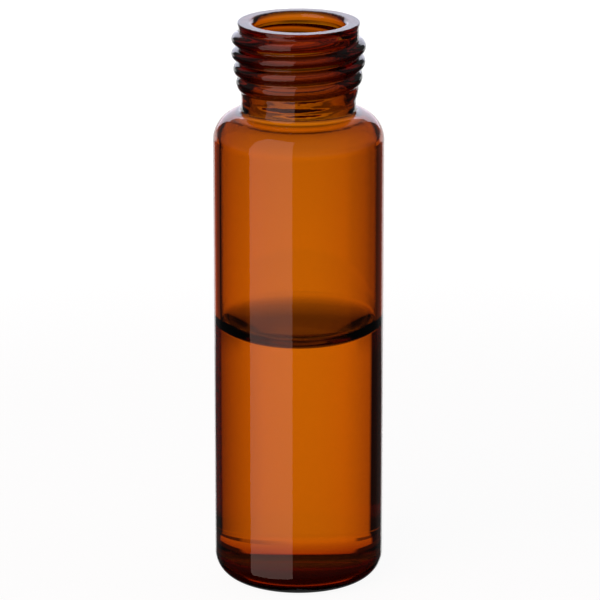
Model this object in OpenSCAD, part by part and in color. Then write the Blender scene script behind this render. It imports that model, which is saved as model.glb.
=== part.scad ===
// Open amber glass sample vial with a threaded neck, partly filled with a clear liquid.
// Units are millimetres. +Z runs up the vial's axis, and Z = 0 is the surface that the vial stands on.

/* [Body] */
// Outside diameter of the body
body_d = 22.5; // [20:0.5:30]
// Overall height, from the standing surface to the rim
total_h = 76; // [60:1:100]
// Thickness of the glass in the body's wall
body_wall = 1; // [0.7:0.05:1.2]
// Outside radius of the shoulder
shoulder_r = 3.8; // [3:0.1:4.6]

/* [Base] */
// Outside radius of the heel, between the wall and the foot
heel_r = 3.2; // [2:0.1:4]
// Radius of the inside corner, between the wall and the floor
inner_heel_r = 2.2; // [1.5:0.1:3.2]
// Height of the inside floor at its edge
floor_z = 1.5; // [1.2:0.1:3]
// Rise of the inside floor at its centre
floor_rise = 0.4; // [0.2:0.1:0.8]
// Depth of the hollow under the base
push_up = 0.5; // [0.3:0.1:0.8]
// Width of the flat ring that the vial stands on
ring_w = 1.6; // [1:0.1:2.4]

/* [Neck] */
// Height of the neck, from the shoulder's crown to the rim
neck_h = 12; // [11:0.5:14]
// Outside diameter of the plain neck under the thread
neck_d = 15; // [14.6:0.1:15.4]
// Diameter of the bore through the neck, under the lip
bore_d = 12.6; // [12:0.1:13]
// Radius of the hollow blend between the neck and the shoulder
neck_blend_r = 0.7; // [0.4:0.1:1]
// Radius of the round edge where the bore opens into the body
bore_blend_r = 3.2; // [1.6:0.1:3.6]
// Height of the slope between the plain neck and the thread's root
neck_slope_h = 2; // [1:0.1:3]
// Length of the plain neck above the blend
plain_neck_h = 1.4; // [1:0.1:2]

/* [Rim] */
// Outside diameter of the rim
rim_d = 16; // [15.8:0.1:16.6]
// Height of the rim's band
rim_h = 0.2; // [0.2:0.1:1]
// Height of the slope under the rim's band
rim_slope_h = 0.6; // [0.2:0.1:1.2]
// Radius of the rim's outer edge
rim_edge_r = 0.15; // [0.1:0.05:0.2]
// Diameter of the mouth inside the lip
mouth_d = 11.8; // [11.4:0.1:12.2]
// Height of the narrow mouth under its rounded edge
lip_h = 0.3; // [0.2:0.1:1]
// Height over which the mouth widens to the bore
lip_slope_h = 0.5; // [0.3:0.1:2]
// Radius of the mouth's inner edge
mouth_edge_r = 0.8; // [0.4:0.1:1]

/* [Thread] */
// Diameter over the thread's crests
thread_d = 17.6; // [16.8:0.1:18]
// Diameter at the thread's root
root_d = 15.7; // [15.5:0.1:16]
// Distance from one turn to the next
pitch = 2; // [1.9:0.05:2.4]
// Width of the ridge at its root
ridge_w = 1.85; // [1.4:0.05:1.88]
// Distance from the rim down to the middle of the ridge's upper end
thread_drop = 1.42; // [1.3:0.02:2]
// Turns over which the upper end rises to its full height
lead_in_turns = 0.4; // [0.2:0.1:0.8]
// Turns at full height
full_turns = 1.3; // [1:0.1:2]
// Turns over which the lower end sinks into the neck
run_out_turns = 2.7; // [0.5:0.1:2.8]
// Direction of the thread's upper end, seen from above
start_angle = 330; // [0:5:355]

/* [Contents] */
// Height of the liquid's flat surface above the standing surface
fill_z = 33.2; // [15:0.1:50]
// Capillary length of the liquid, which sets the size of its raised edge
capillary_length = 2.7; // [1.6:0.1:2.8]
// Angle at which the liquid's surface meets the glass
contact_angle = 10; // [5:5:50]

/* [Hidden] */
// Facets of a full circle
$fn = 180;
// How far cutting shapes run past the faces that they cut
cut = 1;

// Main radii and heights
body_r = body_d / 2;
inner_r = body_r - body_wall;
neck_r = neck_d / 2;
bore_r = bore_d / 2;
mouth_r = mouth_d / 2;
rim_r = rim_d / 2;
root_r = root_d / 2;
crown_z = total_h - neck_h;
mouth_low_z = total_h - mouth_edge_r - lip_h;
shoulder_z = crown_z - shoulder_r;
shoulder_x = body_r - shoulder_r;
inner_shoulder_r = shoulder_r - body_wall;
ring_r = body_r - heel_r - ring_w;
inner_foot_r = inner_r - inner_heel_r;

// Radius of the ball that gives a dome of this width and rise
function dome_r(half_width, rise) = (half_width * half_width + rise * rise) / (2 * rise);

// Centre of a round of radius blend that touches an upright line at x = line and an arc about
// [x, z] of radius arc, or the level line over the arc where the round stands inside its crown
function blend_centre(line, blend, x, z, arc) =
    let (dx = max(0, line + blend - x))
    [line + blend, z + sqrt(pow(arc + blend, 2) - dx * dx)];

// Heights along the outside of the neck
neck_blend_z = blend_centre(neck_r, neck_blend_r, shoulder_x, shoulder_z, shoulder_r)[1];
slope_low_z = neck_blend_z + plain_neck_h;
slope_high_z = slope_low_z + neck_slope_h;
rim_low_z = total_h - rim_h;

// Outside radius of the neck under the ridge, at height z
function neck_radius(z) =
    z >= slope_high_z ? root_r
    : z <= slope_low_z ? neck_r
    : neck_r + (root_r - neck_r) * (z - slope_low_z) / neck_slope_h;

// Height of the meniscus above the flat surface where its slope is the angle a
function rise_at(a) = 2 * capillary_length * sin(a / 2);
function arcosh(v) = ln(v + sqrt(v * v - 1));
// Distance from an upright wall, up to a constant, at which a meniscus stands this high
function reach_at(rise) =
    let (v = rise / capillary_length)
    capillary_length * (arcosh(2 / v) - sqrt(4 - v * v));

// The meniscus, from its flat middle to the glass: its slope goes from the least to the full angle
meniscus_steps = 14;
least_slope = 4;
full_slope = 90 - contact_angle;
wall_reach = reach_at(rise_at(full_slope));
meniscus = [
    for (i = [0 : meniscus_steps])
        let (rise = rise_at(least_slope + (full_slope - least_slope) * i / meniscus_steps))
        [inner_r - (reach_at(rise) - wall_reach), fill_z + rise]
];
contact_z = meniscus[meniscus_steps][1];

// The space between an upright line, a blend and the arc that the blend touches
module blend_profile(line, blend, x, z, arc) {
    c = blend_centre(line, blend, x, z, arc);
    share = arc / (arc + blend);
    touch = c[0] >= x
        ? [[x, z], [x + share * (c[0] - x), z + share * (c[1] - z)]]
        : [[x, z], [x, z + arc], [c[0], z + arc]];
    difference() {
        polygon(concat([[0, z]], touch, [c, [0, c[1]]]));
        translate(c) circle(blend);
    }
}

// Upright wall of the radius r from low to high, closed at the top by an arc about [x, high]
module shoulder_profile(r, low, high, x, arc) {
    translate([0, low]) square([r, high - low]);
    translate([0, high]) square([x, arc]);
    translate([x, high]) circle(arc);
}

// Rounded foot of the radius r with its level underside at z = low
module foot_profile(r, low, round_r) {
    translate([0, low]) square([r - round_r, 2 * round_r]);
    translate([r - round_r, low + round_r]) circle(round_r);
}

// Neck outside, from the shoulder's centre height to the rim, with the rim's rounded edge
module neck_profile() {
    polygon([
        [0, shoulder_z],
        [neck_r, shoulder_z],
        [neck_r, slope_low_z],
        [root_r, slope_high_z],
        [root_r, rim_low_z - rim_slope_h],
        [rim_r, rim_low_z],
        [rim_r, total_h - rim_edge_r],
        [rim_r - rim_edge_r, total_h - rim_edge_r],
        [rim_r - rim_edge_r, total_h],
        [0, total_h]
    ]);
    translate([rim_r - rim_edge_r, total_h - rim_edge_r]) circle(rim_edge_r);
}

// Half section of the vial's outside
module outside_profile() {
    foot_profile(body_r, 0, heel_r);
    shoulder_profile(body_r, heel_r, shoulder_z, shoulder_x, shoulder_r);
    blend_profile(neck_r, neck_blend_r, shoulder_x, shoulder_z, shoulder_r);
    neck_profile();
}

// Half section of the space inside the body, below the bore
module chamber_profile() {
    foot_profile(inner_r, floor_z, inner_heel_r);
    shoulder_profile(inner_r, floor_z + inner_heel_r, shoulder_z, shoulder_x, inner_shoulder_r);
}

// Half section of the bore with its lower blend, the lip and the mouth's rounded edge
module bore_profile() {
    blend_profile(bore_r, bore_blend_r, shoulder_x, shoulder_z, inner_shoulder_r);
    polygon([
        [0, shoulder_z],
        [bore_r, shoulder_z],
        [bore_r, mouth_low_z - lip_slope_h],
        [mouth_r, mouth_low_z],
        [mouth_r, total_h + cut],
        [0, total_h + cut]
    ]);
    difference() {
        translate([0, total_h - mouth_edge_r]) square([mouth_r + mouth_edge_r, mouth_edge_r + cut]);
        translate([mouth_r + mouth_edge_r, total_h - mouth_edge_r]) circle(mouth_edge_r);
    }
}

// Ball whose top is the dome of the inside floor
module floor_dome() {
    r = dome_r(inner_foot_r, floor_rise);
    translate([0, 0, floor_z + floor_rise - r]) sphere(r);
}

// Ball whose top is the hollow under the base
module base_hollow() {
    r = dome_r(ring_r, push_up);
    translate([0, 0, push_up - r]) sphere(r);
}

// The thread's ridge: one closed sweep along a right-hand helix, sunk into the neck at both ends
ridge_steps_per_turn = 40;
ridge_points = 9;
ridge_sink = 0.15;
ridge_root_r = (bore_r + neck_r) / 2;
ridge_turns = lead_in_turns + full_turns + run_out_turns;
ridge_steps = round(ridge_turns * ridge_steps_per_turn);
ridge_full_h = thread_d / 2 - root_r;
ridge_roundness = 0.65;

// Share of its full height that the ridge has, this many turns below its upper end
function ridge_share(turns) =
    turns < lead_in_turns ? sin(90 * turns / lead_in_turns)
    : turns < lead_in_turns + full_turns ? 1
    : (ridge_turns - turns) / run_out_turns;

// One point of the ridge's section: k = 0 and k = ridge_points + 1 close it inside the neck
function ridge_point(turns, k) =
    let (
        middle_z = total_h - thread_drop - pitch * turns,
        side = 2 * min(max((k - 1) / (ridge_points - 1), 0), 1) - 1,
        z = middle_z + side * ridge_w / 2,
        bulge = pow(max(0, 1 - side * side), ridge_roundness),
        low_r = neck_radius(middle_z) - ridge_sink,
        height = ridge_full_h * ridge_share(turns) + ridge_sink,
        r = k == 0 || k == ridge_points + 1 ? ridge_root_r : low_r + height * bulge,
        a = start_angle - 360 * turns
    )
    [r * cos(a), r * sin(a), z];

module thread_ridge() {
    row = ridge_points + 2;
    points = [
        for (i = [0 : ridge_steps])
            for (k = [0 : row - 1])
                ridge_point(ridge_turns * i / ridge_steps, k)
    ];
    sides = [
        for (i = [0 : ridge_steps - 1])
            for (k = [0 : row - 1])
                let (
                    a = i * row + k,
                    b = i * row + (k + 1) % row
                )
                each [[a, a + row, b], [b, a + row, b + row]]
    ];
    top_end = [for (k = [0 : row - 1]) k];
    low_end = [for (k = [row - 1 : -1 : 0]) ridge_steps * row + k];
    polyhedron(points, concat(sides, [top_end, low_end]));
}

// The vial: one piece of blown amber glass
module glass_vial() {
    color([0.72, 0.36, 0.04, 0.75]) difference() {
        union() {
            rotate_extrude() outside_profile();
            thread_ridge();
        }
        difference() {
            rotate_extrude() chamber_profile();
            floor_dome();
        }
        rotate_extrude() bore_profile();
        base_hollow();
    }
}

// The liquid: it fills the chamber from the floor up to its meniscus
module sample_liquid() {
    color([0.86, 0.92, 0.95, 0.6]) difference() {
        rotate_extrude() intersection() {
            chamber_profile();
            polygon(concat(
                [[0, floor_z - cut], [inner_r + cut, floor_z - cut], [inner_r + cut, contact_z]],
                [for (i = [meniscus_steps : -1 : 0]) meniscus[i]],
                [[0, meniscus[0][1]]]
            ));
        }
        floor_dome();
    }
}

glass_vial();
sample_liquid();
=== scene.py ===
"""Amber glass sample vial, partly filled with a clear liquid, on a pale floor in soft studio light."""

import math

import bpy
import numpy as np
from bpy.props import FloatProperty, FloatVectorProperty, IntProperty, PointerProperty
from bpy.types import Operator, Panel, PropertyGroup
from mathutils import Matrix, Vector


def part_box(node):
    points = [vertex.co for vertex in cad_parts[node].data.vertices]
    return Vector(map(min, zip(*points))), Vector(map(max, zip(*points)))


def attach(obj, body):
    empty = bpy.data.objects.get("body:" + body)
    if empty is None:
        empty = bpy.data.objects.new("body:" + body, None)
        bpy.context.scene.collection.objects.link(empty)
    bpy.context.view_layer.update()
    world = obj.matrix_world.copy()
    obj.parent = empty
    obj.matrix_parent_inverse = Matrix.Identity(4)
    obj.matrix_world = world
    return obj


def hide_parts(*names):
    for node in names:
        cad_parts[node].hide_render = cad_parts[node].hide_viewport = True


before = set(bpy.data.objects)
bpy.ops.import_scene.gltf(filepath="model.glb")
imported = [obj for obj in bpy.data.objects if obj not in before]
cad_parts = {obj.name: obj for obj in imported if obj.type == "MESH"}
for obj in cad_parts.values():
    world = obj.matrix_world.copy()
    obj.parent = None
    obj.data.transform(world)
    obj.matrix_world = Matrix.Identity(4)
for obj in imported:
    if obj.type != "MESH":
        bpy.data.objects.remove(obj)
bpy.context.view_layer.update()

bl_info = {
    "name": "Glass Sample Vial",
    "version": (1, 0, 0),
    "blender": (4, 5, 0),
    "location": "View3D > Sidebar > Sample Vial",
    "description": "Makes an amber screw-neck sample vial, the liquid in it, and a studio to show it in",
    "category": "Object",
}

MM = 0.001
SAME_POINT = 1e-8
VIAL_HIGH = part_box("glass_vial")[1]


def length(name, description, millimetres):
    """A length property, given in millimetres and kept in metres."""
    return FloatProperty(
        name=name, description=description, default=millimetres * MM, min=0.0,
        precision=5, unit="LENGTH", subtype="DISTANCE",
    )


def number(name, description, default, low=0.0, high=1000000.0):
    """A plain number property."""
    return FloatProperty(name=name, description=description, default=default, min=low, max=high)


def angle(name, description, degrees):
    """An angle property, given in degrees."""
    return FloatProperty(
        name=name, description=description, default=math.radians(degrees),
        unit="ROTATION", subtype="ANGLE",
    )


def tint(name, description, colour):
    """A colour property."""
    return FloatVectorProperty(
        name=name, description=description, default=colour, size=3, min=0.0, max=1.0,
        subtype="COLOR",
    )


class VialSizes(PropertyGroup):
    """Sizes of the glass."""

    total_h: length("Height", "Overall height of the vial", VIAL_HIGH.z / MM)
    body_d: length("Body diameter", "Outside diameter of the body", 2 * VIAL_HIGH.x / MM)
    wall: length("Wall", "Thickness of the glass in the body's wall", 1.0)
    shoulder_r: length("Shoulder radius", "Outside radius of the shoulder", 3.8)
    heel_r: length("Heel radius", "Outside radius between the wall and the foot", 3.2)
    inner_heel_r: length("Inner heel radius", "Radius of the inside corner at the floor", 2.2)
    floor_z: length("Floor height", "Height of the inside floor at its edge", 1.5)
    floor_rise: length("Floor rise", "Rise of the inside floor at its centre", 0.4)
    push_up: length("Push-up", "Depth of the hollow under the base", 0.5)
    ring_w: length("Foot ring", "Width of the ring that the vial stands on", 1.6)
    neck_h: length("Neck height", "Height of the neck above the shoulder's crown", 12.0)
    neck_d: length("Neck diameter", "Outside diameter of the neck under the thread", 15.0)
    bore_d: length("Bore", "Diameter of the bore through the neck", 12.6)
    mouth_d: length("Mouth", "Diameter of the mouth inside the lip", 11.8)
    lip_h: length("Lip height", "Height of the narrow mouth under its rounded edge", 0.3)
    lip_slope_h: length("Lip slope", "Height over which the mouth widens to the bore", 0.5)
    neck_blend_r: length("Neck blend", "Radius between the neck and the shoulder", 0.7)
    bore_blend_r: length("Bore blend", "Radius where the bore opens into the body", 3.2)
    plain_neck_h: length("Plain neck", "Height of the plain neck above the blend", 1.4)
    neck_slope_h: length("Neck slope", "Height of the slope up to the thread's root", 2.0)
    rim_d: length("Rim diameter", "Outside diameter of the rim", 16.0)
    rim_h: length("Rim height", "Height of the rim's band", 0.2)
    rim_slope_h: length("Rim slope", "Height of the slope under the rim's band", 0.6)
    rim_edge_r: length("Rim edge", "Radius of the rim's outer edge", 0.15)
    mouth_edge_r: length("Mouth edge", "Radius of the mouth's inner edge", 0.8)


class ThreadSizes(PropertyGroup):
    """Sizes of the screw thread on the neck."""

    crest_d: length("Crest diameter", "Diameter over the thread's crests", 17.6)
    root_d: length("Root diameter", "Diameter at the thread's root", 15.7)
    pitch: length("Pitch", "Distance from one turn to the next", 2.0)
    ridge_w: length("Ridge width", "Width of the ridge at its root", 1.85)
    drop: length("Drop", "Distance from the rim down to the ridge's upper end", 1.42)
    softening: length("Softening", "Height over which the ridge's edges are rounded", 0.3)
    lead_in: number("Lead-in", "Turns over which the upper end rises", 0.4)
    full: number("Full turns", "Turns at full height", 1.3)
    run_out: number("Run-out", "Turns over which the lower end sinks away", 2.7)
    start: angle("Start", "Direction of the thread's upper end", 330.0)


class LiquidSizes(PropertyGroup):
    """Sizes of the liquid."""

    fill_z: length("Fill height", "Height of the level surface", 33.2)
    capillary: length("Capillary length", "Sets the size of the raised edge", 2.7)
    contact: angle("Contact angle", "Angle between the surface and the glass", 10.0)
    clearance: length("Clearance", "Distance kept from the glass", 0.02)


class Finishes(PropertyGroup):
    """Colours and optical values."""

    glass_clear: tint("Amber", "Light that the glass lets through at its density", (0.932, 0.737, 0.017))
    glass_density: number("Amber density", "How much light a metre of the glass takes away", 3950.0)
    # Painted shade: a bluish tint that darkens the neck's surfaces in place of the shade the neck lies in
    neck_painted_shade: tint("Neck", "Further tint of the neck's surfaces, which darkens the neck", (0.6, 0.88, 1.0))
    wave_height: length("Waves", "Height of the faint waves in the neck's surface", 0.02)
    glass_ior: number("Glass index", "Refractive index of the glass", 1.52)
    liquid_ior: number("Liquid index", "Refractive index of the liquid", 1.333)


class StudioSizes(PropertyGroup):
    """Camera and light."""

    lens: number("Lens", "Focal length in millimetres", 246.1)
    distance: length("Camera distance", "From the camera to the middle of the vial", 544.5)
    elevation: angle("Camera height", "Angle of the camera above the level", 16.54)
    pivot_z: length("Pivot height", "Height about which the camera is swung up", 38.0)
    aim_z: length("Aim height", "Height that the camera looks at", 38.2)
    aim_x: length("Aim side", "Distance of the camera and its aim to the right of the axis", 0.173)
    back_tint: tint("Back lamp colour", "Colour of the broad low lamp behind", (0.82, 0.82, 1.0))
    back_level: number("Back lamp", "Brightness of the broad low lamp behind", 1.45)
    side_tint: tint("Side lamp colour", "Colour of the tall lamp at the left", (1.0, 0.64, 0.58))
    side_level: number("Side lamp", "Brightness of the tall lamp at the left", 1.15)
    floor_white: number("Floor white", "Brightness of the floor's own white", 1.1)
    floor_shadow: number("Floor shadow", "Share of the floor's look that is lit by the lamps", 0.15)


class SampleVial(PropertyGroup):
    """Everything that can be set on the vial and its studio."""

    glass: PointerProperty(type=VialSizes)
    thread: PointerProperty(type=ThreadSizes)
    liquid: PointerProperty(type=LiquidSizes)
    finish: PointerProperty(type=Finishes)
    studio: PointerProperty(type=StudioSizes)
    segments: IntProperty(
        name="Segments", description="Faces around the axis", default=240, min=24, max=512,
    )


# Outlines: arrays of (distance from the axis, height). Here s holds the sizes of the glass, t those of
# the thread and q those of the liquid.


def arc(centre, radius, start, end, steps):
    """The centre plus the radius times the cosine and sine of angles even between two, in degrees."""
    a = np.radians(np.linspace(start, end, steps + 1))
    return np.stack([centre[0] + radius * np.cos(a), centre[1] + radius * np.sin(a)], 1)


def run(start, end, guard=0.1 * MM, steps=2):
    """Straight stretch with a point close to each end, which keeps the shading of its neighbours out."""
    span = math.dist(start, end)
    near = min(guard / span, 0.25)
    shares = np.concatenate([[0.0], np.linspace(near, 1 - near, steps), [1.0]])[:, None]
    return np.array(start) * (1 - shares) + np.array(end) * shares


def dome(half_width, rise, low, steps):
    """Ball cap from the axis outwards: its height falls from the middle by the radius less the root of
    the radius squared less the distance squared."""
    radius = (half_width ** 2 + rise ** 2) / (2 * rise)
    r = half_width * np.sin(np.linspace(0, math.pi / 2, steps + 1))
    return np.stack([r, low + rise - radius + np.sqrt(radius ** 2 - r ** 2)], 1)


def blend_height(line, blend, x, z, radius):
    """Height of the centre of a round that touches an upright line and an arc, by Pythagoras on the
    distance between the two centres."""
    return z + math.sqrt((radius + blend) ** 2 - max(0.0, line + blend - x) ** 2)


def shoulder_centre(s):
    """Centre of the shoulder's arc: its radius inside the body and its radius under the crown."""
    return s.body_d / 2 - s.shoulder_r, s.total_h - s.neck_h - s.shoulder_r


def outside(s):
    """Outside of the vial, from the middle of the base up to the neck blend."""
    body_r, neck_r = s.body_d / 2, s.neck_d / 2
    ring_out = body_r - s.heel_r
    ring_in = ring_out - s.ring_w
    x, z = shoulder_centre(s)
    blend_z = blend_height(neck_r, s.neck_blend_r, x, z, s.shoulder_r)
    lean = math.degrees(math.atan2(blend_z - z, neck_r + s.neck_blend_r - x))
    return np.concatenate([
        dome(ring_in, s.push_up, 0.0, 14),
        run((ring_in, 0.0), (ring_out, 0.0)),
        arc((ring_out, s.heel_r), s.heel_r, -90, 0, 24),
        run((body_r, s.heel_r), (body_r, z)),
        arc((x, z), s.shoulder_r, 0, lean, 28),
        arc((neck_r + s.neck_blend_r, blend_z), s.neck_blend_r, 180 + lean, 180, 10),
    ])


def neck_rows(s, t):
    """Heights and radii of the plain neck: straight stretches between the sizes, with their corners
    evened out by a running mean."""
    row_count, evened_h = 132, 0.25 * MM
    x, z = shoulder_centre(s)
    low = blend_height(s.neck_d / 2, s.neck_blend_r, x, z, s.shoulder_r)
    slope_low = low + s.plain_neck_h
    rim_low = s.total_h - s.rim_h
    heights = [low, slope_low, slope_low + s.neck_slope_h, rim_low - s.rim_slope_h, rim_low]
    radii = [s.neck_d / 2, s.neck_d / 2, t.root_d / 2, t.root_d / 2, s.rim_d / 2]
    rows = np.linspace(low, rim_low, row_count)[1:]
    window = np.linspace(-0.5, 0.5, 9) * evened_h
    return rows, np.interp(rows[:, None] + window, heights, radii).mean(1)


def rim(s):
    """The rim: its band, outer edge, level land and the mouth's inner edge. The band starts a little over
    its lower end, where the neck's last row is."""
    guard, band_gap = 0.04 * MM, 0.05 * MM
    rim_r, mouth_r, high = s.rim_d / 2, s.mouth_d / 2 + s.mouth_edge_r, s.total_h
    return np.concatenate([
        run((rim_r, high - s.rim_h + band_gap), (rim_r, high - s.rim_edge_r), guard),
        arc((rim_r - s.rim_edge_r, high - s.rim_edge_r), s.rim_edge_r, 0, 90, 10),
        run((rim_r - s.rim_edge_r, high), (mouth_r, high), guard, 4),
        arc((mouth_r, high - s.mouth_edge_r), s.mouth_edge_r, 90, 180, 12),
    ])


def bore(s):
    """Inside of the neck and the shoulder, from the mouth down to the straight wall."""
    bore_r = s.bore_d / 2
    x, z = shoulder_centre(s)
    lip_high = s.total_h - s.mouth_edge_r
    lip_low = lip_high - s.lip_h
    inner_arc = s.shoulder_r - s.wall
    blend_z = blend_height(bore_r, s.bore_blend_r, x, z, inner_arc)
    lean = math.degrees(math.atan2(blend_z - z, max(0.0, bore_r + s.bore_blend_r - x)))
    return np.concatenate([
        run((s.mouth_d / 2, lip_high), (s.mouth_d / 2, lip_low)),
        run((s.mouth_d / 2, lip_low), (bore_r, lip_low - s.lip_slope_h)),
        run((bore_r, lip_low - s.lip_slope_h), (bore_r, blend_z), steps=4),
        arc((bore_r + s.bore_blend_r, blend_z), s.bore_blend_r, 180, 180 + lean, 12),
        arc((x, z), inner_arc, lean, 0, 24),
    ])


def wetted(s, top, inset=0.0):
    """Inside of the body from the height top down to the middle of the floor, set inwards by inset."""
    wall_r = s.body_d / 2 - s.wall - inset
    foot_r = wall_r - s.inner_heel_r + inset
    heel_z = s.floor_z + s.inner_heel_r
    return np.concatenate([
        run((wall_r, top), (wall_r, heel_z), steps=4),
        arc((foot_r, heel_z), s.inner_heel_r - inset, 0, -90, 20),
        dome(foot_r, s.floor_rise, s.floor_z + inset, 16)[::-1],
    ])


def meniscus(s, q):
    """Liquid surface from the glass to the axis. Near the glass it is the exact curve of a surface
    against an upright wall, where a slope a stands 2 c sin(a / 2) above the level; further in it is a
    hyperbolic cosine with the same slope and height at the join."""
    c = q.capillary
    steep = np.linspace(90 - math.degrees(q.contact), 20, 30)
    gentle = np.linspace(19, 7, 13)
    slope = np.radians(np.concatenate([steep, gentle]))
    rise = 2 * c * np.sin(slope / 2)
    reach = c * (np.arccosh(2 * c / rise) - np.sqrt(4 - (rise / c) ** 2))
    r = s.body_d / 2 - s.wall - q.clearance - (reach - reach[0])
    join = r[-1]
    inner = np.linspace(join, 0, 13)[1:]
    swing = math.tan(slope[-1]) * c / math.sinh(join / c)
    inner_z = q.fill_z + rise[-1] + swing * (np.cosh(inner / c) - math.cosh(join / c))
    return np.stack([np.append(r, inner), np.append(q.fill_z + rise, inner_z)], 1)


def contact_height(q):
    """Height at which the liquid's surface meets the glass."""
    return q.fill_z + 2 * q.capillary * math.sin((math.pi / 2 - q.contact) / 2)


def ridge_height(z, around, t, high):
    """Height of the thread's ridge over the neck. Its middle falls by one pitch a turn; across it the
    height is one less the offset squared, to the power of its fullness; along it the height rises as a
    sine, stays, and then falls evenly to nothing."""
    fullness = 0.65
    total = t.lead_in + t.full + t.run_out
    first = ((t.start - around) / (2 * math.pi)) % 1.0
    height = np.zeros(np.broadcast(z, around).shape)
    for turn in range(math.ceil(total) + 1):
        turns = first + turn
        side = (z - (high - t.drop - t.pitch * turns)) / (t.ridge_w / 2)
        share = np.where(
            turns < t.lead_in, np.sin(np.clip(turns / t.lead_in, 0, 1) * math.pi / 2),
            np.clip((total - turns) / t.run_out, 0, 1),
        )
        height = np.maximum(height, share * np.clip(1 - side ** 2, 0, 1) ** fullness)
    return height * (t.crest_d - t.root_d) / 2


def soft_ridge(z, around, t, high):
    """The ridge with its edges rounded: the mean of the ridge over a short height."""
    offsets = np.linspace(-0.5, 0.5, 7) * t.softening
    return sum(ridge_height(z + d, around, t, high) for d in offsets) / len(offsets)


# Meshes


def new_piece(name, points, corners, sizes):
    """Object with this mesh: its points, the points at the corners of its faces one face after the
    other, and how many corners each face has."""
    mesh = bpy.data.meshes.new(name)
    mesh.vertices.add(len(points))
    mesh.vertices.foreach_set("co", points.astype(np.float32).ravel())
    mesh.loops.add(len(corners))
    mesh.loops.foreach_set("vertex_index", corners.astype(np.int32))
    mesh.polygons.add(len(sizes))
    mesh.polygons.foreach_set("loop_start", (np.cumsum(sizes) - sizes).astype(np.int32))
    mesh.polygons.foreach_set("loop_total", sizes.astype(np.int32))
    mesh.update(calc_edges=True)
    mesh.validate()
    mesh.shade_smooth()
    piece = bpy.data.objects.new(name, mesh)
    bpy.context.scene.collection.objects.link(piece)
    return piece


def revolve(name, outline, segments, flags, extra=None):
    """Closed surface of revolution. Each outline point goes round the axis, x is its distance times the
    cosine and y its distance times the sine of the angle; extra is added to the distance. The first
    and the last point lie on the axis and close the surface with fans. flags holds a number for each
    band between two outline points, which is given back for each face."""
    if extra is None:
        extra = np.zeros((len(outline), 1))
    keep = np.append(True, np.linalg.norm(np.diff(outline, axis=0), axis=1) > SAME_POINT)
    outline, flags, extra = outline[keep], flags[keep], extra[keep]
    around = np.linspace(0, 2 * math.pi, segments, endpoint=False)
    r = outline[1:-1, :1] + extra[1:-1]
    rings = np.stack([r * np.cos(around), r * np.sin(around), outline[1:-1, 1:] + 0 * around], 2)
    points = np.concatenate([[[0, 0, outline[0, 1]]], rings.reshape(-1, 3), [[0, 0, outline[-1, 1]]]])

    rows, j = len(rings), np.arange(segments)
    k = (j + 1) % segments
    base = 1 + np.arange(rows - 1)[:, None] * segments
    quads = np.stack([base + j, base + k, base + segments + k, base + segments + j], 2).reshape(-1, 4)
    low = np.stack([0 * j, 1 + k, 1 + j], 1)
    last = 1 + (rows - 1) * segments
    high = np.stack([last + j, last + k, 0 * j + len(points) - 1], 1)
    corners = np.concatenate([low.ravel(), quads.ravel(), high.ravel()])
    sizes = np.concatenate([np.full(segments, 3), np.full(len(quads), 4), np.full(segments, 3)])
    return new_piece(name, points, corners, sizes), np.repeat(flags[:-1], segments)


# Materials


class Value:
    """A number socket whose sums, products and the like add Math nodes."""

    def __init__(self, nodes, socket):
        self.nodes, self.socket = nodes, socket

    def maths(self, operation, *values):
        """One Math node on these values."""
        node = self.nodes.add("ShaderNodeMath", {"operation": operation}, dict(enumerate(values)))
        return Value(self.nodes, node.outputs[0])

    def __add__(self, other):
        return self.maths("ADD", self, other)

    def __sub__(self, other):
        return self.maths("SUBTRACT", self, other)

    def __rsub__(self, other):
        return self.maths("SUBTRACT", other, self)

    def __mul__(self, other):
        return self.maths("MULTIPLY", self, other)

    def __truediv__(self, other):
        return self.maths("DIVIDE", self, other)

    __radd__, __rmul__ = __add__, __mul__

    def ramp(self, low, high):
        """Smooth step from 0 at low to 1 at high."""
        settings = {"interpolation_type": "SMOOTHSTEP"}
        inputs = {"Value": self, "From Min": low, "From Max": high}
        return Value(self.nodes, self.nodes.add("ShaderNodeMapRange", settings, inputs).outputs["Result"])

    def line(self, low, high):
        """Straight step from 0 at low to 1 at high."""
        inputs = {"Value": self, "From Min": low, "From Max": high}
        return Value(self.nodes, self.nodes.add("ShaderNodeMapRange", None, inputs).outputs["Result"])

    def within(self, low, high, soft):
        """1 between two numbers and 0 outside, with soft ends."""
        return self.ramp(low - soft, low + soft) * (1 - self.ramp(high - soft, high + soft))


class Nodes:
    """Builds the node tree of one material or world."""

    def __init__(self, owner):
        owner.use_nodes = True
        self.tree = owner.node_tree
        self.tree.nodes.clear()

    def add(self, kind, settings=None, inputs=None):
        """Adds a node: its settings first, then a value or a link for each named socket."""
        node = self.tree.nodes.new(kind)
        for key, value in (settings or {}).items():
            if key == "stops":
                elements = node.color_ramp.elements
                elements.remove(elements[1])
                elements[0].position, elements[0].color = value[0]
                for position, colour in value[1:]:
                    elements.new(position).color = colour
            else:
                setattr(node, key, value)
        for key, value in (inputs or {}).items():
            source = value.socket if isinstance(value, Value) else value
            if isinstance(source, bpy.types.NodeSocket):
                self.tree.links.new(source, node.inputs[key])
            else:
                node.inputs[key].default_value = source
        return node

    def level(self, degrees, stops):
        """Straight lines between stops, each an angle from -90 to 90 degrees and a level."""
        stops = [((at + 90) / 180, (share, share, share, 1.0)) for at, share in stops]
        ramp = self.add("ShaderNodeValToRGB", {"stops": stops}, {0: (degrees + 90) / 180})
        return Value(self, ramp.outputs[0])


def clear_surface(nodes, ior, **more):
    """Smooth see-through surface of one refractive index. more holds further sockets by name."""
    inputs = {"Base Color": (1.0, 1.0, 1.0, 1.0), "Roughness": 0.0, "IOR": ior, "Transmission Weight": 1.0}
    return nodes.add("ShaderNodeBsdfPrincipled", None, {**inputs, **more}).outputs[0]


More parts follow.
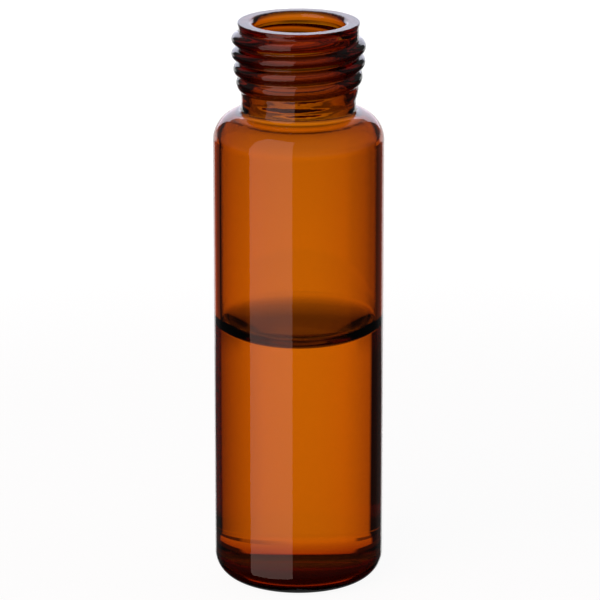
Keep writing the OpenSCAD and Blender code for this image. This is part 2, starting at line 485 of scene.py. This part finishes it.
def amber_glass(f, crown_z, top_z):
    """Amber glass. Its colour is taken out of the light along its way through the glass, so thick
    places are darker. Where the liquid wets it, its index is that of glass over that of the liquid.
    From the shoulder's crown up, and less so at the rim, the neck has painted shade, a bluish tint that
    darkens its surfaces, and faint waves."""
    material = bpy.data.materials.new("amber_glass")
    n = Nodes(material)
    wet = n.add("ShaderNodeAttribute", {"attribute_name": "wetted"}).outputs["Fac"]
    place = n.add("ShaderNodeTexCoord").outputs["Object"]
    height = Value(n, n.add("ShaderNodeSeparateXYZ", None, {0: place}).outputs["Z"])
    # Painted shade on the neck: a tint over its surfaces, full from the crown up and mostly taken off near
    # the rim
    at_rim = height.ramp(top_z - 3.5 * MM, top_z - 1.5 * MM)
    neck = height.ramp(crown_z, crown_z + 5 * MM) * (1 - 0.95 * at_rim)
    colour = n.add("ShaderNodeMix", {"data_type": "RGBA"}, {0: neck, 6: (1, 1, 1, 1), 7: (*f.neck_painted_shade, 1)})

    flat = {0: place, 1: (1.0, 1.0, 2.5)}
    spot = n.add("ShaderNodeVectorMath", {"operation": "MULTIPLY"}, flat).outputs[0]
    noise = n.add("ShaderNodeTexNoise", None, {"Vector": spot, "Scale": 420.0, "Detail": 2.0}).outputs["Fac"]
    waves = height.ramp(crown_z - 4 * MM, crown_z - 1 * MM) * Value(n, noise)
    bump = n.add("ShaderNodeBump", None, {"Strength": 1.0, "Distance": f.wave_height, "Height": waves})

    surface = n.add("ShaderNodeMixShader", None, {
        0: wet,
        1: clear_surface(n, f.glass_ior, **{"Base Color": colour.outputs[2], "Normal": bump.outputs[0]}),
        2: clear_surface(n, f.glass_ior / f.liquid_ior),
    })
    body = n.add("ShaderNodeVolumeAbsorption", None, {
        "Color": (*f.glass_clear, 1.0), "Density": f.glass_density,
    })
    n.add("ShaderNodeOutputMaterial", None, {"Surface": surface.outputs[0], "Volume": body.outputs[0]})
    return material


def clear_liquid(name, ior):
    """Clear liquid: its free surface bends light, and its sides are left to the wetted glass."""
    material = bpy.data.materials.new(name)
    n = Nodes(material)
    n.add("ShaderNodeOutputMaterial", None, {"Surface": clear_surface(n, ior)})
    return material


class VIAL_OT_make_glass(Operator):
    """Make the glass vial with its thread"""

    bl_idname = "vial.make_glass"
    bl_label = "Make Glass"

    def execute(self, context):
        p = context.scene.sample_vial
        s, t = p.glass, p.thread
        contact = contact_height(p.liquid)
        wall_r = s.body_d / 2 - s.wall
        neck_z, neck_r = neck_rows(s, t)
        low, high = outside(s), rim(s)
        dry = np.concatenate([bore(s), run((wall_r, shoulder_centre(s)[1]), (wall_r, contact))])
        wet = wetted(s, contact)
        outline = np.concatenate([low, np.stack([neck_r, neck_z], 1), high, dry, wet])
        around = np.linspace(0, 2 * math.pi, p.segments, endpoint=False)
        extra = np.zeros((len(outline), p.segments))
        extra[len(low):len(low) + len(neck_z)] = soft_ridge(neck_z[:, None], around, t, s.total_h)
        flags = np.zeros(len(outline))
        flags[-len(wet):] = 1
        piece, band = revolve("vial_glass", outline, p.segments, flags, extra)
        mask = piece.data.attributes.new("wetted", "FLOAT", "FACE")
        mask.data.foreach_set("value", band.astype(np.float32))
        piece.data.materials.append(amber_glass(p.finish, s.total_h - s.neck_h, s.total_h))
        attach(piece, "root")
        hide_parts("glass_vial")
        return {"FINISHED"}


class VIAL_OT_make_liquid(Operator):
    """Make the liquid with its raised edge"""

    bl_idname = "vial.make_liquid"
    bl_label = "Make Liquid"

    def execute(self, context):
        p = context.scene.sample_vial
        s, q = p.glass, p.liquid
        below = wetted(s, contact_height(q), q.clearance)[::-1]
        above = meniscus(s, q)
        outline = np.concatenate([below, above])
        flags = np.zeros(len(outline))
        flags[len(below):] = 1
        piece, band = revolve("vial_liquid", outline, p.segments, flags)
        piece.data.materials.append(clear_liquid("clear_liquid_at_glass", 1.0))
        piece.data.materials.append(clear_liquid("clear_liquid", p.finish.liquid_ior))
        piece.data.polygons.foreach_set("material_index", band.astype(np.int32))
        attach(piece, "root")
        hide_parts("sample_liquid")
        return {"FINISHED"}


def studio_world():
    """What surrounds the vial, by direction: turn is the angle round from straight behind the vial,
    positive to the right, and rise is the angle above the level, both in degrees.

    The camera sees plain white. Light that goes through the glass comes from a pale table and a
    backdrop that is white a little below the level and falls off above and below, with dark screens
    at the sides, which draw the dark edges of the glass. The polish of the glass shows a narrower
    strip of the same backdrop, a pale ceiling and an otherwise dark room."""
    world = bpy.data.worlds.new("studio")
    n = Nodes(world)
    way = n.add("ShaderNodeSeparateXYZ", None, {0: n.add("ShaderNodeTexCoord").outputs["Generated"]}).outputs
    side, back, up = (Value(n, way[k]) for k in "XYZ")
    turn = side.maths("ARCTAN2", side, back) * math.degrees(1)
    rise = up.maths("ARCSINE", up) * math.degrees(1)
    away = turn.maths("ABSOLUTE", turn)

    # The backdrop's brightness by rise, from the table under the vial to the room's top
    through = n.level(rise, (
        (-80, 0.05), (-72, 0.13), (-62, 0.17), (-53, 0.14), (-49, 0.16), (-44, 0.25), (-36, 0.38),
        (-31, 0.58), (-25, 0.92), (-20.4, 0.87), (-19.2, 0.95), (-18, 0.99), (-16.5, 1.01),
        (-15.5, 0.95), (-14.5, 0.87), (-13.5, 0.8), (-12, 0.76), (-10, 0.7), (-8, 0.65), (-5, 0.62),
        (0.5, 0.6), (3.0, 0.2), (12, 0.2), (14, 0.42), (20, 0.4), (24, 0.15), (40, 0.1),
    ))
    # Dark screens: beside the backdrop, close in at its middle, over it, on the table and behind the camera
    ahead = 1 - away.ramp(95, 105)
    beside = (1 - turn.within(-37, 45, 2)) * rise.within(-20.5, -7.5, 0.5) * ahead
    close = away.within(24, 48, 2) * rise.within(-17, -14.2, 0.4)
    over = away.ramp(21, 26) * (1 - away.ramp(68, 78)) * rise.within(-7.5, 12, 0.5)
    table = (1 - turn.within(-98, 46, 3)) * rise.within(-48, -20.5, 0.5)
    rear = turn.within(-146, -108, 4) * rise.within(-20.5, -17, 0.4)
    # The backdrop falls off to the right, and less so to the left and close to the middle
    low = 1 - rise.ramp(-17.3, -16.7)
    fall = (1 - 0.7 * turn.line(12, 47)) * (1 - 0.3 * turn.line(-17, -37))
    fall = fall * (1 - 0.35 * turn.line(1, 14) * (1 - low))
    fall = 1 - (1 - fall) * rise.within(-20.5, -14, 0.5) * ahead
    through = through * (1 - 0.98 * beside) * (1 - 0.7 * close) * (1 - 0.95 * table) * (1 - 0.9 * over)
    through = through * (1 - 0.95 * rear) * fall

    # What the polish shows: a bright strip whose edges lean out as they rise, and the ceiling
    edge = away - 4 * rise.ramp(-18, -16.5) - 14 * rise.ramp(-13.5, -8) - 2.5 * turn.ramp(-4, 4)
    strip = 0.02 + 0.03 * (1 - away.ramp(36, 50)) + 0.9 * (1 - edge.ramp(16, 23))
    strip = strip * (0.12 + 0.88 * rise.ramp(-31, -23))
    ceiling = (0.1 + 0.25 * (1 - away.ramp(22, 28))) * n.level(rise, ((0, 1.0), (40, 1.0), (90, 0.5)))
    shown = strip + (ceiling - strip) * rise.ramp(-7, 3)

    path = n.add("ShaderNodeLightPath").outputs
    polish = Value(n, path["Is Glossy Ray"]) * (1 - Value(n, path["Is Transmission Ray"]))
    camera = Value(n, path["Is Camera Ray"])
    seen = through + (shown - through) * polish
    level = camera + (1 - camera) * seen
    light = n.add("ShaderNodeBackground", None, {"Color": (1.0, 1.0, 1.0, 1.0), "Strength": level})
    n.add("ShaderNodeOutputWorld", None, {"Surface": light.outputs[0]})
    return world


def pale_floor(white_level, shadow):
    """Pale floor: white as the background, less a share that is lit by the lamps and takes shadow. The
    lit share fades out at a distance from the vial, so no horizon shows."""
    material = bpy.data.materials.new("pale_floor")
    n = Nodes(material)
    lit = n.add("ShaderNodeBsdfDiffuse", None, {"Color": (1.0, 1.0, 1.0, 1.0)})
    white = n.add("ShaderNodeEmission", None, {"Color": (1.0, 1.0, 1.0, 1.0), "Strength": white_level})
    place = n.add("ShaderNodeTexCoord").outputs["Object"]
    far = Value(n, n.add("ShaderNodeVectorMath", {"operation": "LENGTH"}, {0: place}).outputs["Value"])
    white_share = 1 - shadow * (1 - far.ramp(80 * MM, 300 * MM))
    share = 1 - white_share * Value(n, n.add("ShaderNodeLightPath").outputs["Is Camera Ray"])
    surface = n.add("ShaderNodeMixShader", None, {0: share, 1: white.outputs[0], 2: lit.outputs[0]})
    n.add("ShaderNodeOutputMaterial", None, {"Surface": surface.outputs[0]})
    return material


def facing(place, aim):
    """Turn of a lamp or a camera that stands at place and looks at aim."""
    return (Vector(aim) - Vector(place)).to_track_quat("-Z", "Y").to_euler()


def soft_lamp(name, place, aim, size, level, colour):
    """Area lamp whose face has the brightness level: its power is level times pi times its area. The
    glass shows it as a reflection only, and never through its walls."""
    lamp = bpy.data.lights.new(name, "AREA")
    lamp.shape = "RECTANGLE"
    lamp.size, lamp.size_y = size
    lamp.energy = level * math.pi * size[0] * size[1]
    lamp.color = colour
    holder = bpy.data.objects.new(name, lamp)
    bpy.context.scene.collection.objects.link(holder)
    holder.location = place
    holder.rotation_euler = facing(holder.location, aim)
    holder.visible_transmission = False


class VIAL_OT_set_stage(Operator):
    """Make the floor, the light and the camera"""

    bl_idname = "vial.set_stage"
    bl_label = "Set Stage"

    def execute(self, context):
        c = context.scene.sample_vial.studio
        scene = context.scene
        scene.view_settings.view_transform = "Standard"
        scene.world = studio_world()

        half = 3.0
        corners = [(-half, -half, 0), (half, -half, 0), (half, half, 0), (-half, half, 0)]
        mesh = bpy.data.meshes.new("floor")
        mesh.from_pydata(corners, [], [(0, 1, 2, 3)])
        mesh.materials.append(pale_floor(c.floor_white, c.floor_shadow))
        floor = bpy.data.objects.new("floor", mesh)
        scene.collection.objects.link(floor)
        floor.visible_glossy = floor.visible_transmission = False

        soft_lamp(
            "back_lamp", place=(0.0, 0.6, 0.19), aim=(0.0, 0.0, 0.19), size=(0.6, 0.3),
            level=c.back_level, colour=c.back_tint,
        )
        soft_lamp(
            "side_lamp", place=(-0.32, -0.4, 0.3), aim=(0.0, 0.0, 0.3), size=(0.6, 1.3),
            level=c.side_level, colour=c.side_tint,
        )

        camera = bpy.data.cameras.new("camera")
        camera.lens = c.lens
        holder = bpy.data.objects.new("camera", camera)
        scene.collection.objects.link(holder)
        out, over = c.distance * math.cos(c.elevation), c.distance * math.sin(c.elevation)
        holder.location = (c.aim_x, -out, c.pivot_z + over)
        holder.rotation_euler = facing(holder.location, (c.aim_x, 0.0, c.aim_z))
        scene.camera = holder
        return {"FINISHED"}


class VIAL_PT_sidebar(Panel):
    """Lists the pieces of the vial"""

    bl_label = "Sample Vial"
    bl_idname = "VIAL_PT_sidebar"
    bl_space_type = "VIEW_3D"
    bl_region_type = "UI"
    bl_category = "Sample Vial"

    def draw(self, context):
        for operator in OPERATORS:
            self.layout.operator(operator.bl_idname)


GROUPS = (VialSizes, ThreadSizes, LiquidSizes, Finishes, StudioSizes, SampleVial)
OPERATORS = (VIAL_OT_make_glass, VIAL_OT_make_liquid, VIAL_OT_set_stage)


def register():
    for each in (*GROUPS, *OPERATORS, VIAL_PT_sidebar):
        bpy.utils.register_class(each)
    bpy.types.Scene.sample_vial = PointerProperty(type=SampleVial)


def unregister():
    del bpy.types.Scene.sample_vial
    for each in (VIAL_PT_sidebar, *reversed(OPERATORS), *reversed(GROUPS)):
        bpy.utils.unregister_class(each)


def main():
    register()
    bpy.ops.vial.make_glass()
    bpy.ops.vial.make_liquid()
    bpy.ops.vial.set_stage()


if __name__ == "__main__":
    main()
